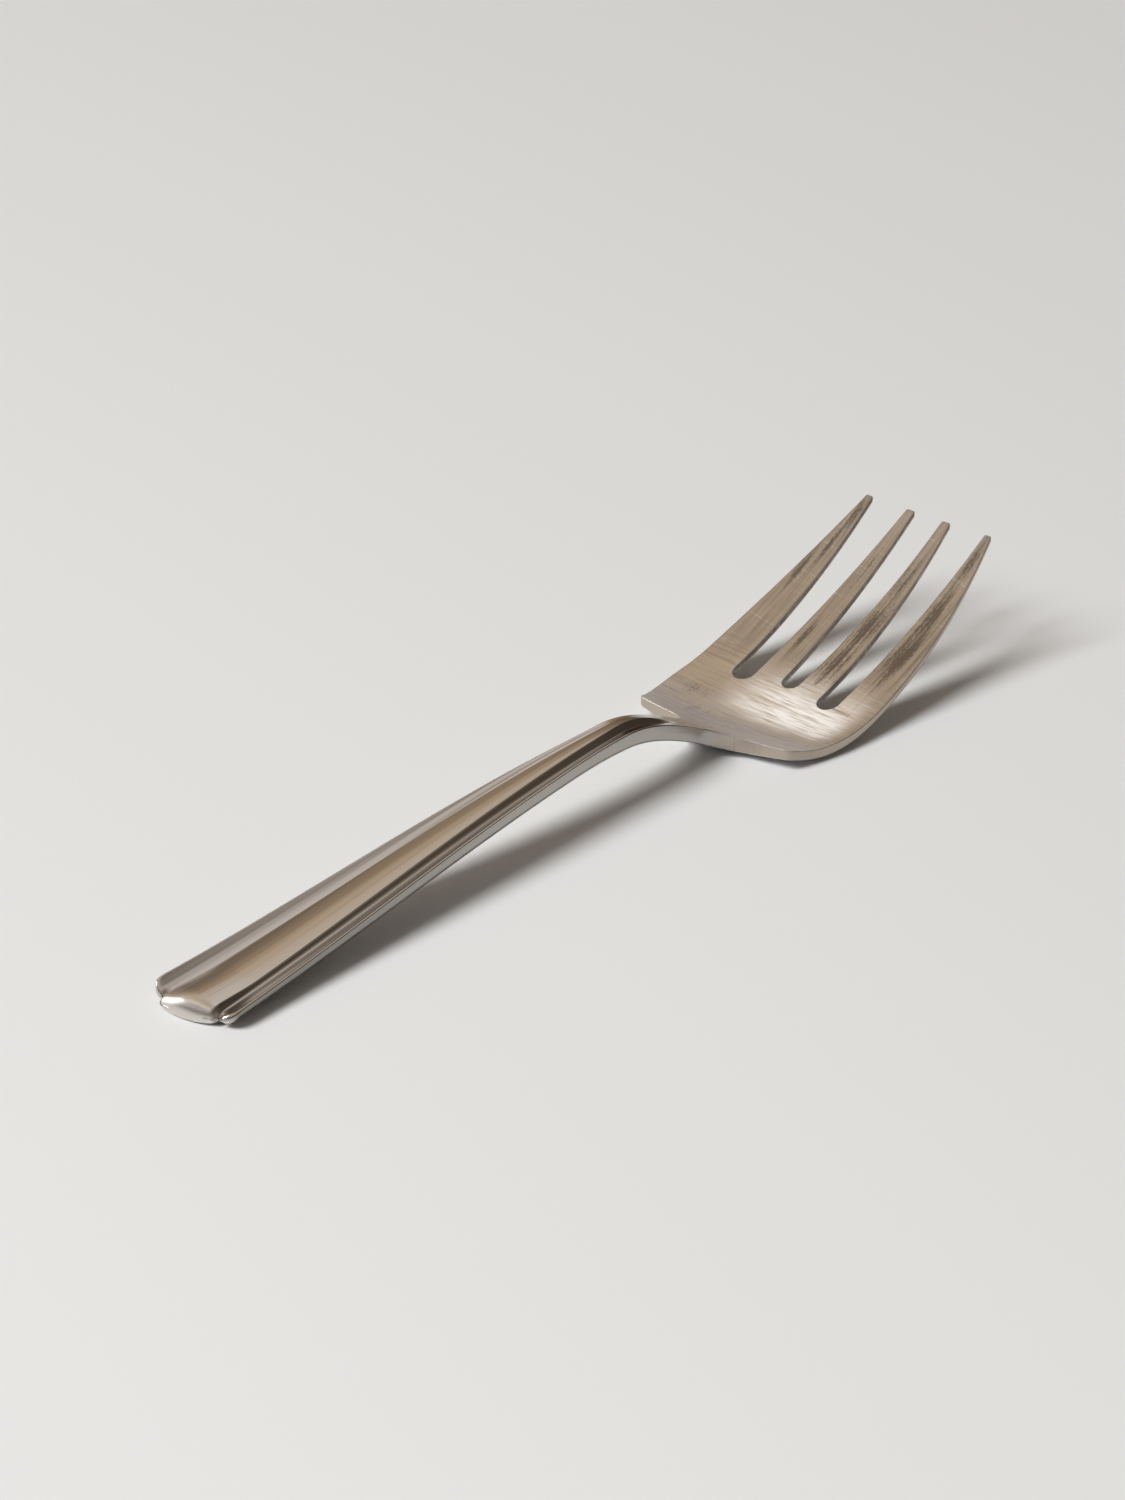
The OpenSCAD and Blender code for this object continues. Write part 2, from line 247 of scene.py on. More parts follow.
def die(name, sizes, shape):
    """Nodes that press a blank: they give it a top and an underside, round its cut edges and bend it."""
    tree = bpy.data.node_groups.new(name, "GeometryNodeTree")
    tree.is_modifier = True
    tree.interface.new_socket("Blank", in_out="INPUT", socket_type="NodeSocketGeometry")
    tree.interface.new_socket("Steel", in_out="INPUT", socket_type="NodeSocketMaterial")
    for label, size in sizes.items():
        tree.interface.new_socket(label, in_out="INPUT", socket_type="NodeSocketFloat").default_value = size
    tree.interface.new_socket("Piece", in_out="OUTPUT", socket_type="NodeSocketGeometry")
    nodes, links = tree.nodes, tree.links
    given = nodes.new("NodeGroupInput")

    # The distance of each point from the cut edge
    borders = nodes.new("GeometryNodeInputMeshEdgeNeighbors")
    on_border = nodes.new("FunctionNodeCompare")
    on_border.data_type, on_border.operation = "INT", "EQUAL"
    links.new(borders.outputs["Face Count"], on_border.inputs["A"])
    on_border.inputs[3].default_value = 1
    cut = nodes.new("GeometryNodeSeparateGeometry")
    cut.domain = "EDGE"
    links.new(given.outputs["Blank"], cut.inputs["Geometry"])
    links.new(on_border.outputs["Result"], cut.inputs["Selection"])
    reach = nodes.new("GeometryNodeProximity")
    reach.target_element = "EDGES"
    links.new(cut.outputs["Selection"], reach.inputs[0])
    keep = nodes.new("GeometryNodeStoreNamedAttribute")
    keep.data_type, keep.domain = "FLOAT", "POINT"
    keep.inputs["Name"].default_value = "rim"
    links.new(given.outputs["Blank"], keep.inputs["Geometry"])
    links.new(reach.outputs["Distance"], keep.inputs["Value"])

    # The sheet with a top, an underside and the cut faces between them
    upward = nodes.new("ShaderNodeCombineXYZ")
    upward.inputs["Z"].default_value = 1.0
    raised = nodes.new("GeometryNodeExtrudeMesh")
    raised.inputs["Offset Scale"].default_value = 0.001
    raised.inputs["Individual"].default_value = False
    links.new(keep.outputs["Geometry"], raised.inputs["Mesh"])
    links.new(upward.outputs["Vector"], raised.inputs["Offset"])
    underside = nodes.new("GeometryNodeFlipFaces")
    links.new(keep.outputs["Geometry"], underside.inputs["Mesh"])
    joined = nodes.new("GeometryNodeJoinGeometry")
    links.new(raised.outputs["Mesh"], joined.inputs["Geometry"])
    links.new(underside.outputs["Mesh"], joined.inputs["Geometry"])
    sheet = nodes.new("GeometryNodeMergeByDistance")
    sheet.inputs["Distance"].default_value = 1e-6
    links.new(joined.outputs["Geometry"], sheet.inputs["Geometry"])

    # The die's two faces, in millimetres from the handle's end
    place = nodes.new("GeometryNodeInputPosition")
    parts = nodes.new("ShaderNodeSeparateXYZ")
    links.new(place.outputs["Position"], parts.inputs["Vector"])
    rim = nodes.new("GeometryNodeInputNamedAttribute")
    rim.data_type = "FLOAT"
    rim.inputs["Name"].default_value = "rim"
    x = Field(parts.outputs["X"]) * 1000 + fork_l / 2
    y = Field(parts.outputs["Y"]) * 1000
    is_top = share_of(Field(parts.outputs["Z"]), 0.0002, 0.0008)
    rim = Field(rim.outputs["Attribute"]) * 1000
    top, bottom, top_round, bottom_round, side = shape(x, y, {n: Field(given.outputs[n]) for n in sizes})
    top = top - rounded(rim, top_round)
    bottom = bottom + rounded(rim, bottom_round)
    height = (bottom + (top - bottom) * is_top) / 1000
    bent = nodes.new("ShaderNodeCombineXYZ")
    links.new(parts.outputs["X"], bent.inputs["X"])
    plug(bent.inputs["Y"], (y + side) / 1000)
    links.new(height.socket, bent.inputs["Z"])
    pressed = nodes.new("GeometryNodeSetPosition")
    links.new(sheet.outputs["Geometry"], pressed.inputs["Geometry"])
    links.new(bent.outputs["Vector"], pressed.inputs["Position"])
    smooth = nodes.new("GeometryNodeSetShadeSmooth")
    links.new(pressed.outputs["Geometry"], smooth.inputs["Geometry"])
    real = nodes.new("GeometryNodeRealizeInstances")
    links.new(smooth.outputs["Geometry"], real.inputs["Geometry"])
    steel = nodes.new("GeometryNodeSetMaterial")
    links.new(real.outputs["Geometry"], steel.inputs["Geometry"])
    links.new(given.outputs["Steel"], steel.inputs["Material"])
    made = nodes.new("NodeGroupOutput")
    links.new(steel.outputs["Geometry"], made.inputs["Piece"])
    return tree


def pressed(name, flat, tree, steel, seams):
    """Presses a blank, trims it to the seams with its neighbours and closes it there, and keeps the shading
    of the unbroken metal across each seam."""
    piece = bpy.data.objects.new(name + "_blank", flat)
    bpy.context.collection.objects.link(piece)
    press = piece.modifiers.new("press", "NODES")
    press.node_group = tree
    for item in tree.interface.items_tree:
        if item.in_out == "INPUT" and item.socket_type == "NodeSocketMaterial":
            press[item.identifier] = steel
        elif item.in_out == "INPUT" and item.socket_type == "NodeSocketFloat":
            press[item.identifier] = item.default_value
    view = bpy.context.evaluated_depsgraph_get()
    whole = bpy.data.meshes.new_from_object(piece.evaluated_get(view), depsgraph=view)
    bpy.data.objects.remove(piece)
    work = bmesh.new()
    work.from_mesh(whole)
    work.normal_update()
    unbroken = work.verts.layers.float_vector.new("unbroken")
    for point in work.verts:
        point[unbroken] = point.normal
    for place, side in seams:
        place = (place - fork_l / 2) / 1000
        past = [f for f in work.faces if (f.calc_center_median().x - place) * side > 0]
        bmesh.ops.delete(work, geom=past, context="FACES")
    open_edges = [e for e in work.edges if e.is_boundary]
    caps = bmesh.ops.holes_fill(work, edges=open_edges, sides=0)["faces"] if open_edges else []
    for face in work.faces:
        face.smooth = True
    for face in caps:
        face.smooth = False
    mesh = bpy.data.meshes.new(name)
    work.to_mesh(mesh)
    work.free()
    bpy.data.meshes.remove(whole)
    kept = [Vector(a.vector) for a in mesh.attributes["unbroken"].data]
    shading = [None] * len(mesh.loops)
    for face in mesh.polygons:
        for k in face.loop_indices:
            shading[k] = kept[mesh.loops[k].vertex_index] if face.use_smooth else face.normal
    mesh.attributes.remove(mesh.attributes["unbroken"])
    mesh.normals_split_custom_set(shading)
    if not mesh.materials:
        mesh.materials.append(steel)
    piece = bpy.data.objects.new(name, mesh)
    bpy.context.collection.objects.link(piece)
    return piece


def handle_shape(x, y, size):
    """Top and underside of the handle and neck."""
    profile = [
        (0, handle_edge + under_bulge - table_wear, math.tan(math.radians(handle_rise))),
        (handle_l, size["Crest Height"], 0),
        (rear_at, rear_h, -math.tan(math.radians(rear_fall))),
    ]
    gauge = [
        (0, handle_edge, 0),
        (handle_l / 2, waist_edge, 0),
        (handle_l, crest_edge, 0),
        (head_from, neck_edge, 0),
    ]
    edge = along(x, profile)
    across = abs(y)
    taper = (handle_w - neck_w) / 2 / (handle_l - taper_ease / 2)
    past = share_of(x, neck_from, handle_l) * taper_ease
    upto = work_out("MINIMUM", x, handle_l)
    half = handle_w / 2 - upto * taper + past * past * (taper / taper_ease / 2)
    panel = panel_w / 2 - upto * ((panel_w - panel_crest_w) / 2 / handle_l)
    foot = panel + panel_slope
    on_panel = work_out("MINIMUM", across / panel, 1.0)
    ridge = work_out("SQRT", on_panel * on_panel + ridge_round ** 2) - ridge_round
    ridge = ridge / (math.hypot(1, ridge_round) - ridge_round)
    crown = size["Panel Crown"] * (panel * (2 / panel_w)) ** crown_taper
    to_crest = share_of(x, 0, handle_l)
    fall = size["Flange Fall"] * (1 - to_crest * fall_fade)
    lift = size["Lobe Lift"] * (1 - share_of(x, lift_from, lift_to, smooth=True))
    rise = size["Panel Step"] + (crest_step - panel_step) * to_crest
    panel_rise = rise + crown * (1 - ridge) - fall + lift
    on_flange = share_of(across, foot, half - edge_round)
    rim_rise = 1 - size["Right Flatness"] * share_of(y, 1.0, -1.0) * (1 - to_crest * flatness_fade)
    flange_rise = fall * (rim_rise * on_flange * (on_flange * flange_hollow + (1 - flange_hollow)) - 1)
    # The step has a softer foot towards the handle's end
    step = share_of(across, panel, foot)
    step = step + (share_of(across, panel, foot, smooth=True) - step) * (1 - to_crest)
    fade = 1 - share_of(x, handle_l + relief_past, head_from, smooth=True)
    top = edge + (panel_rise + (flange_rise - panel_rise) * step) * fade
    bulge = size["Under Bulge"] * (1 - share_of(x, 0, head_from, smooth=True))
    out = work_out("MINIMUM", across / half, 1.0)
    near_end = 1 - share_of(x, 0, handle_l, smooth=True)
    lean = y * near_end * math.tan(math.radians(handle_twist))
    bottom = work_out("MAXIMUM", edge - along(x, gauge) - bulge * (1 - out ** 3) - lean, 0.0)
    top = top - lean
    at_end = 1 - share_of(x, end_round_from, end_round_to, smooth=True)
    past_lobe = share_of(across, lobe_w / 2, lobe_w / 2 + flange_end_blend)
    at_end = at_end * (1 - (1 - flange_end_share) * past_lobe)
    top_round = edge_round + (end_round - edge_round) * at_end
    top_round = work_out("MINIMUM", top_round, (top - bottom) * most_round)
    behind_neck = 1 - share_of(x, neck_from, head_from, smooth=True)
    bottom_round = edge_round + (handle_under_round - edge_round) * behind_neck
    return top, bottom, top_round, bottom_round, near_end * handle_bend


handle_die = die("handle die", {
    "Crest Height": crest_h,
    "Panel Step": panel_step,
    "Panel Crown": panel_crown,
    "Flange Fall": flange_fall,
    "Right Flatness": right_flatness,
    "Lobe Lift": lobe_lift,
    "Under Bulge": under_bulge,
}, handle_shape)


def shader_group(name, given, made):
    """Empty group of shader nodes with its named inputs and outputs."""
    tree = bpy.data.node_groups.new(name, "ShaderNodeTree")
    for label, (kind, value) in given.items():
        pin = tree.interface.new_socket(label, in_out="INPUT", socket_type="NodeSocket" + kind)
        pin.default_value = value
    for label, kind in made.items():
        tree.interface.new_socket(label, in_out="OUTPUT", socket_type="NodeSocket" + kind)
    start = tree.nodes.new("NodeGroupInput")
    return tree, {label: Field(start.outputs[label]) for label in given}, tree.nodes.new("NodeGroupOutput")


def use(tree, group, **settings):
    """Puts a group into a material's nodes and gives its outputs."""
    node = tree.nodes.new("ShaderNodeGroup")
    node.node_tree = group
    for label, value in settings.items():
        plug(node.inputs[label], value)
    return {pin.name: Field(pin) for pin in node.outputs}


def blend(share, first, second):
    """Colour that goes from the first to the second with the share."""
    node = share.socket.id_data.nodes.new("ShaderNodeMix")
    node.data_type = "RGBA"
    plug(node.inputs["Factor"], share)
    plug(node.inputs["A"], first)
    plug(node.inputs["B"], second)
    return Field(node.outputs["Result"])


def place_on(tree):
    """Place on the fork in millimetres, from the handle's end and across."""
    spot = tree.nodes.new("ShaderNodeTexCoord")
    parts = tree.nodes.new("ShaderNodeSeparateXYZ")
    tree.links.new(spot.outputs["Object"], parts.inputs["Vector"])
    return Field(parts.outputs["X"]) * 1000 + fork_l / 2, Field(parts.outputs["Y"]) * 1000


def finished(material, colour, roughness, height, depth, bare=1.0):
    """Metal with a colour, a roughness, a relief and a bareness given over its surface."""
    tree = material.node_tree
    finish = tree.nodes["Principled BSDF"]
    plug(finish.inputs["Metallic"], bare)
    relief = tree.nodes.new("ShaderNodeBump")
    relief.inputs["Strength"].default_value = 1.0
    relief.inputs["Distance"].default_value = depth
    plug(relief.inputs["Height"], height)
    tree.links.new(relief.outputs["Normal"], finish.inputs["Normal"])
    plug(finish.inputs["Base Color"], colour)
    plug(finish.inputs["Roughness"], roughness)


# Lines rubbed into the metal: a noise drawn out by its repeats per metre along each axis. They may be turned
# and may run together with the handle's taper
rubbed, given, made = shader_group("rubbed lines", {
    "Repeats": ("Vector", (20.0, 400.0, 400.0)),
    "Turn": ("Float", 0.0),
    "Taper": ("Float", 0.0),
    "Detail": ("Float", 2.0),
}, {"Lines": "Float"})
spot = rubbed.nodes.new("ShaderNodeTexCoord")
turned = rubbed.nodes.new("ShaderNodeVectorRotate")
turned.rotation_type = "Z_AXIS"
rubbed.links.new(spot.outputs["Object"], turned.inputs["Vector"])
plug(turned.inputs["Angle"], given["Turn"])
parts = rubbed.nodes.new("ShaderNodeSeparateXYZ")
rubbed.links.new(turned.outputs["Vector"], parts.inputs["Vector"])
run, wide, tall = (Field(pin) for pin in parts.outputs)
to_neck = share_of(run, -fork_l / 2000, handle_l / 1000 - fork_l / 2000)
tapered = rubbed.nodes.new("ShaderNodeCombineXYZ")
for pin, value in zip(tapered.inputs, (run, wide / (1 - to_neck * given["Taper"]), tall)):
    plug(pin, value)
drawn = rubbed.nodes.new("ShaderNodeVectorMath")
drawn.operation = "MULTIPLY"
rubbed.links.new(tapered.outputs["Vector"], drawn.inputs[0])
plug(drawn.inputs[1], given["Repeats"])
grain = rubbed.nodes.new("ShaderNodeTexNoise")
grain.inputs["Scale"].default_value = 1.0
rubbed.links.new(drawn.outputs["Vector"], grain.inputs["Vector"])
plug(grain.inputs["Detail"], given["Detail"])
plug(made.inputs["Lines"], Field(grain.outputs[0]))

# Polish along the handle: soft waves, fine lines and a faint tarnish between them
line_taper = 0.62
polish, given, made = shader_group("lengthwise polish", {
    "Steel": ("Color", (0.66, 0.625, 0.585, 1)),
    "Tarnish": ("Color", (0.38, 0.33, 0.28, 1)),
    "Gloss": ("Float", 0.09),
}, {"Colour": "Color", "Roughness": "Float", "Height": "Float"})
waves = use(polish, rubbed, Repeats=(5.0, 320.0, 20.0), Taper=line_taper, Detail=2.0)["Lines"]
lines = use(polish, rubbed, Repeats=(20.0, 2200.0, 60.0), Taper=line_taper, Detail=2.0)["Lines"]
film = use(polish, rubbed, Repeats=(6.0, 700.0, 20.0), Taper=line_taper, Detail=3.0)["Lines"]
plug(made.inputs["Colour"], blend(share_of(film, 0.45, 0.8, smooth=True), given["Steel"], given["Tarnish"]))
plug(made.inputs["Roughness"], given["Gloss"] + share_of(lines, 0.35, 0.75) * 0.08)
plug(made.inputs["Height"], waves + lines * 0.06)

# Cut edges, which the polish doesn't reach: duller and greyer, the grey partly painted shade for the floor they
# mirror
edge_grey_and_shade = (0.44, 0.42, 0.385, 1)
cut_edge, given, made = shader_group("cut edge", {
    "Colour": ("Color", (0.6, 0.6, 0.6, 1)),
    "Roughness": ("Float", 0.1),
    "Grey": ("Color", edge_grey_and_shade),
    "Dullness": ("Float", 0.3),
}, {"Colour": "Color", "Roughness": "Float"})
facing = cut_edge.nodes.new("ShaderNodeNewGeometry")
upright = cut_edge.nodes.new("ShaderNodeSeparateXYZ")
cut_edge.links.new(facing.outputs["Normal"], upright.inputs["Vector"])
on_edge = 1 - share_of(abs(Field(upright.outputs["Z"])), 0.3, 0.65, smooth=True)
plug(made.inputs["Colour"], blend(on_edge, given["Colour"], given["Grey"]))
plug(made.inputs["Roughness"], given["Roughness"] + (given["Dullness"] - given["Roughness"]) * on_edge)

neck_painted_shade = (0.34, 0.3, 0.26, 1)
end_shadow_reflection = (0.27, 0.26, 0.235, 1)
end_sheen_pale = (0.74, 0.7, 0.67, 1)
rub_depth = 7e-5
polished = bpy.data.materials.new("polished steel")
polished.use_nodes = True
top_finish = use(polished.node_tree, polish)
x, y = place_on(polished.node_tree)
# The neck's right side is painted darker, a painted shade for the dark reflection it takes there
neck_shade_share = share_of(x, 104, 116, smooth=True) * (1 - share_of(x, 122, head_from, smooth=True))
neck_shade_share = neck_shade_share * share_of(y, 3.2, 1.6, smooth=True)
toned = blend(neck_shade_share * 0.7, top_finish["Colour"], neck_painted_shade)
# The cut edge is smoother towards the handle's end and painted darker there, a painted reflection of the shadow
past_end_shade = share_of(x, 15, 85, smooth=True)
edge_grey = blend(past_end_shade, end_shadow_reflection, edge_grey_and_shade)
edged = use(polished.node_tree, cut_edge, Colour=toned, Roughness=top_finish["Roughness"], Grey=edge_grey,
            Dullness=0.17 + past_end_shade * 0.13)
# The end is duller, which is taken for wear, and painted paler, a painted sheen for the light its front takes
end_wear_and_sheen = 1 - share_of(x, 1.5, 4.5, smooth=True)
end_sheen_colour = blend(end_wear_and_sheen, edged["Colour"], end_sheen_pale)
finished(polished, end_sheen_colour, edged["Roughness"] + end_wear_and_sheen * 0.22, top_finish["Height"], rub_depth)

end_zone = 7.0
end_steps = [0, 0.004, 0.016, 0.036, 0.062, 0.092, 0.125, 0.16, 0.2, 0.26, 0.34, 0.44, 0.56, 0.7, 0.85]
start_y = handle_lines(0)
handle_rows = []
for s in end_steps:
    row = []
    for k, y in enumerate(start_y):
        x = handle_end(y) + (end_zone - handle_end(y)) * s
        row.append((x, handle_lines(x)[k]))
    handle_rows.append(row)
for x in [end_zone] + spread(end_zone, neck_from, 120) + [neck_from + 0.5, neck_from + 1.0]:
    handle_rows.append([(x, y) for y in handle_lines(x)])
handle = pressed("handle", blank("handle", handle_rows), handle_die, polished, [(neck_from, 1)])
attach(handle, "root")
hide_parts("handle")


# Neck
# The narrow arch between grip and head, part of the same blank. It is bent upwards over a former, and the
# handle's relief runs out over its crest.
neck_rows = []
for x in [neck_from - 1.0, neck_from - 0.5, neck_from] + spread(neck_from, head_from, 66) \
        + [head_from + 0.5, head_from + 1.0]:
    neck_rows.append([(x, y) for y in handle_lines(x)])
neck = pressed("neck", blank("neck", neck_rows), handle_die, polished, [(neck_from, -1), (head_from, 1)])
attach(neck, "root")
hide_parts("neck")


# Head
# The plate that carries the food: blanked with three round-ended slots, dished across and bent from the
# rear edge down to the belly and up to the tines; satin, with fine scratches across it.
belly_at = 150.4
tips_at = 205.4
shoulder_r = 7.0
rear_w = 36.4
corner_r = 1.8
rear_lean = 0.9
head_w = 41.8
widest_at = 157.4
dish_depth = 1.2
tine_dish = 0.35
head_edge = 2.0
spine_depth = 1.8
spine_to = 145.8
slot_w = 4.4
middle_slot_w = 3.7
slot_pitch = 10.15
outer_root = 160.4
middle_root = 162.4
root_lead = 3.0
tines_from = 165.25
tine_under_round = 0.5
inner_tips, outer_tips = 8.5, 28.4
inner_tip_w, outer_tip_w = 2.0, 1.6
tine_edge_root, tine_edge_tip = 1.65, 1.3
root_h, root_rise = 3.9, 17.0
tip_h, tip_rise = 24.4, 34.0
corner_at = rear_at + rear_lean + corner_r
fan_from = outer_root - root_lead
fillet_from = rear_at - shoulder_r

warm_steel, brown_steel = (0.73, 0.665, 0.58, 1), (0.62, 0.575, 0.52, 1)
rear_reflection_grey, tine_steel = (0.66, 0.64, 0.65, 1), (0.5, 0.455, 0.405, 1)
dark_scratch, bright_scratch = (0.46, 0.42, 0.38, 1), (0.86, 0.82, 0.76, 1)
tine_streak, glow_white = (0.37, 0.34, 0.31, 1), (0.96, 0.93, 0.89, 1)
head_edge_tan, stain_and_shade_brown = (0.47, 0.405, 0.335, 1), (0.23, 0.205, 0.18, 1)
satin = bpy.data.materials.new("satin steel")
satin.use_nodes = True
tree = satin.node_tree
x, y = place_on(tree)
scratches = use(tree, rubbed, Repeats=(3000.0, 95.0, 95.0), Detail=4.0)["Lines"]
slanted = use(tree, rubbed, Repeats=(2700.0, 130.0, 130.0), Turn=0.14, Detail=3.0)["Lines"]
cloud = use(tree, rubbed, Repeats=(130.0, 90.0, 90.0), Detail=4.0)["Lines"]
streak = use(tree, rubbed, Repeats=(40.0, 1300.0, 60.0), Detail=3.0)["Lines"]
speck = use(tree, rubbed, Repeats=(1300.0, 3000.0, 100.0), Detail=2.0)["Lines"]
# A pale, dull band where the plate bends up into the tines: partly wear, partly a painted highlight for its
# glow
wear_and_glow = share_of(x, 147, 154.5, smooth=True) * (1 - share_of(x, 157, 170, smooth=True))
wear_and_glow = wear_and_glow * share_of(y, 14, -2, smooth=True) * share_of(y, -21, -15, smooth=True)
wear_and_glow = wear_and_glow * share_of(scratches + slanted * 0.8 + cloud * 0.5, 0.78, 1.22)
# Stained by food along the tines, and darkened on the slot walls, partly stain and partly painted shade
mark = tree.nodes.new("ShaderNodeAttribute")
mark.attribute_name = "stain_and_shade"
stain_and_shade = Field(mark.outputs["Fac"]) + (streak - 0.5) * 1.6 + (speck - 0.5) * 1.1
stain_and_shade = share_of(stain_and_shade, 0.25, 0.95, smooth=True)
# Bare satin metal: cloudy, browner on the tines, scratched across and streaked along
# The rear is painted greyer, a painted reflection
rear_reflection = 1 - share_of(x, 143, 156, smooth=True)
metal = blend(share_of(cloud, 0.35, 0.7, smooth=True), warm_steel, brown_steel)
metal = blend(rear_reflection, metal, rear_reflection_grey)
metal = blend(share_of(x, 166, 182, smooth=True) * 0.5, metal, tine_steel)
crossed = share_of(scratches, 0.48, 0.74) * (1 - share_of(x, 164, 174, smooth=True) * 0.7)
metal = blend(crossed, metal, dark_scratch)
metal = blend(share_of(slanted, 0.58, 0.8), metal, bright_scratch)
drawn_out = share_of(streak, 0.4, 0.64, smooth=True) * share_of(x, 160, 174, smooth=True)
metal = blend(drawn_out * 0.65, metal, tine_streak)
metal = blend(wear_and_glow, metal, glow_white)
# The neck's polish runs out into it
shine = use(tree, polish)
satin_share = share_of(x, head_from, 140, smooth=True)
metal = blend(satin_share, shine["Colour"], metal)
rough = 0.37 + share_of(slanted, 0.3, 0.7) * 0.1 + wear_and_glow * 0.2 + stain_and_shade * 0.05
rough = shine["Roughness"] + (rough - shine["Roughness"]) * satin_share
edge_grey = blend(share_of(x, 134, 140, smooth=True), edge_grey_and_shade, head_edge_tan)
edged = use(tree, cut_edge, Colour=metal, Roughness=rough, Grey=edge_grey)
metal = blend(stain_and_shade, edged["Colour"], stain_and_shade_brown)
relief = scratches * (0.08 + wear_and_glow * 0.25) + slanted * 0.1 + speck * stain_and_shade * 0.1
relief = shine["Height"] + (relief - shine["Height"]) * satin_share
# Less metallic in the pale band, which carries its painted glow, and at the rear, which carries its painted
# grey
matt = work_out("MAXIMUM", wear_and_glow * 0.85, rear_reflection * satin_share * 0.34)
finished(satin, metal, edged["Roughness"], relief, rub_depth, 1 - matt)


def stained_and_shaded(piece, marks, slot_wall_stain_and_shade=0.0):
    """Notes on the piece how strongly each place is darkened: by stain marks of place, half length, half width
    and strength, and on the walls of the slots, partly stain and partly painted shade."""
    layer = piece.data.attributes.new("stain_and_shade", "FLOAT", "POINT")
    for point, at in zip(layer.data, piece.data.vertices):
        px, py = at.co.x * 1000 + fork_l / 2, at.co.y * 1000
        if on_slot_wall(px, py):
            point.value = slot_wall_stain_and_shade
        for mx, my, run, width, strength in marks:
            away = ((px - mx) / run) ** 2 + ((py - my) / width) ** 2
            point.value = max(point.value, strength * math.exp(-away))


def head_half(x):
    """Half of the head's width, widest in front of the belly."""
    end_half, end_at = rear_w / 2, corner_at
    if x >= widest_at:
        end_half, end_at = (outer_tips + outer_tip_w) / 2, tips_at
    return head_w / 2 - (head_w / 2 - end_half) * ((x - widest_at) / (end_at - widest_at)) ** 2


def slot_radius(m):
    """Radius of the round root of the slot beside edge m; the middle slot is narrower."""
    return (middle_slot_w if m in (3, 4) else slot_w) / 2


def slot_middle(m):
    """Place along the fork of the middle of that root."""
    return (middle_root if m in (3, 4) else outer_root) + slot_radius(m)


def tine_side(m, x):
    """Edge m of the tines in plan, from the right outer edge, 0, to the left outer edge, 7."""
    if m in (0, 7):
        return head_half(x) * (1 if m else -1)
    side = 1 if m > 3 else -1
    inner = m in (3, 4)
    first = middle_slot_w / 2 if inner else slot_pitch + slot_w / 2 * (1 if m in (1, 6) else -1)
    last = {
        1: (outer_tips - outer_tip_w) / 2,
        2: (inner_tips + inner_tip_w) / 2,
        3: (inner_tips - inner_tip_w) / 2,
    }[min(m, 7 - m)]
    run = max(0.0, x - slot_middle(m)) / (tips_at - slot_middle(m))
    return side * (first + (last - first) * run ** (1 if inner else 2))


def on_slot_wall(x, y):
    """Whether a place lies on a side or the round root of a slot."""
    for m in (1, 3, 5):
        right, left = tine_side(m, x), tine_side(m + 1, x)
        if x >= slot_middle(m) and min(abs(y - right), abs(y - left)) < 0.01:
            return True
        reach = math.hypot(min(0.0, x - slot_middle(m)), y - (right + left) / 2)
        if x < slot_middle(m) and abs(reach - slot_radius(m)) < 0.01:
            return True
    return False


tine_rim = [0, 0.018, 0.07, 0.15, 0.26, 0.38, 0.5]
tine_lines = tine_rim + ["inner"] * 5 + tine_rim[::-1]
slot_steps = 14
head_lines = []
for m in range(7):
    head_lines += [(m, k) for k in (range(len(tine_lines)) if m % 2 == 0 else range(1, slot_steps))]


def line_y(line, x, drawn=0.0):
    """Distance across of one line of the head: a tine's rims and inner lines, or those across a slot."""
    m, k = line
    a, b = tine_side(m, x) + drawn, tine_side(m + 1, x) - drawn
    if m % 2:
        return (a + b) / 2 - (b - a) / 2 * math.cos(math.pi * k / slot_steps)
    if k < len(tine_rim):
        return a + tine_rim[k]
    if k >= len(tine_lines) - len(tine_rim):
        return b - tine_lines[k]
    share = (k - len(tine_rim) + 1) / 6
    return a + tine_rim[-1] + (b - a - 2 * tine_rim[-1]) * share


def head_row(x, half):
    """Row behind the slots: the lines of the tines run together towards the neck."""
    row = []
    last = len(head_lines) - 1
    for j, line in enumerate(head_lines):
        rim = min(j, last - j)
        side = -1 if j < last / 2 else 1
        if rim < len(tine_rim):
            y = side * (half - tine_rim[rim])
        else:
            y = line_y(line, fan_from) * (half - tine_rim[-1]) / (head_half(fan_from) - tine_rim[-1])
        row.append((x, y))
    return row


def root_at(line):
    """Place along the fork where a line meets the row that bends round the slots' roots."""
    m, k = line
    if m % 2:
        return slot_middle(m) - slot_radius(m) * math.sin(math.pi * k / slot_steps)
    first, last = slot_middle(max(1, m)), slot_middle(min(6, m + 1))
    return first + (last - first) * k / (len(tine_lines) - 1)


arc = [k * math.pi / 24 for k in range(13)]
head_rows = [head_row(x, neck_w / 2) for x in (head_from - 1.0, head_from - 0.5, head_from)]
head_rows += [head_row(x, neck_w / 2) for x in spread(head_from, fillet_from, 4)]
head_rows += [
    head_row(fillet_from + shoulder_r * math.sin(a), neck_w / 2 + shoulder_r * (1 - math.cos(a)))
    for a in arc[1:]
]
edge_from, edge_to = neck_w / 2 + shoulder_r, rear_w / 2 - corner_r
head_rows += [
    head_row(rear_at + rear_lean * k / 14, edge_from + (edge_to - edge_from) * k / 14) for k in range(1, 14)
]
head_rows += [
    head_row(corner_at - corner_r * math.cos(a), rear_w / 2 - corner_r * (1 - math.sin(a))) for a in arc
]
head_rows += [head_row(x, head_half(x)) for x in spread(corner_at, fan_from, 26)]
root_gaps = [0.6, 0.5, 0.38, 0.26, 0.15, 0.07, 0.018, 0]
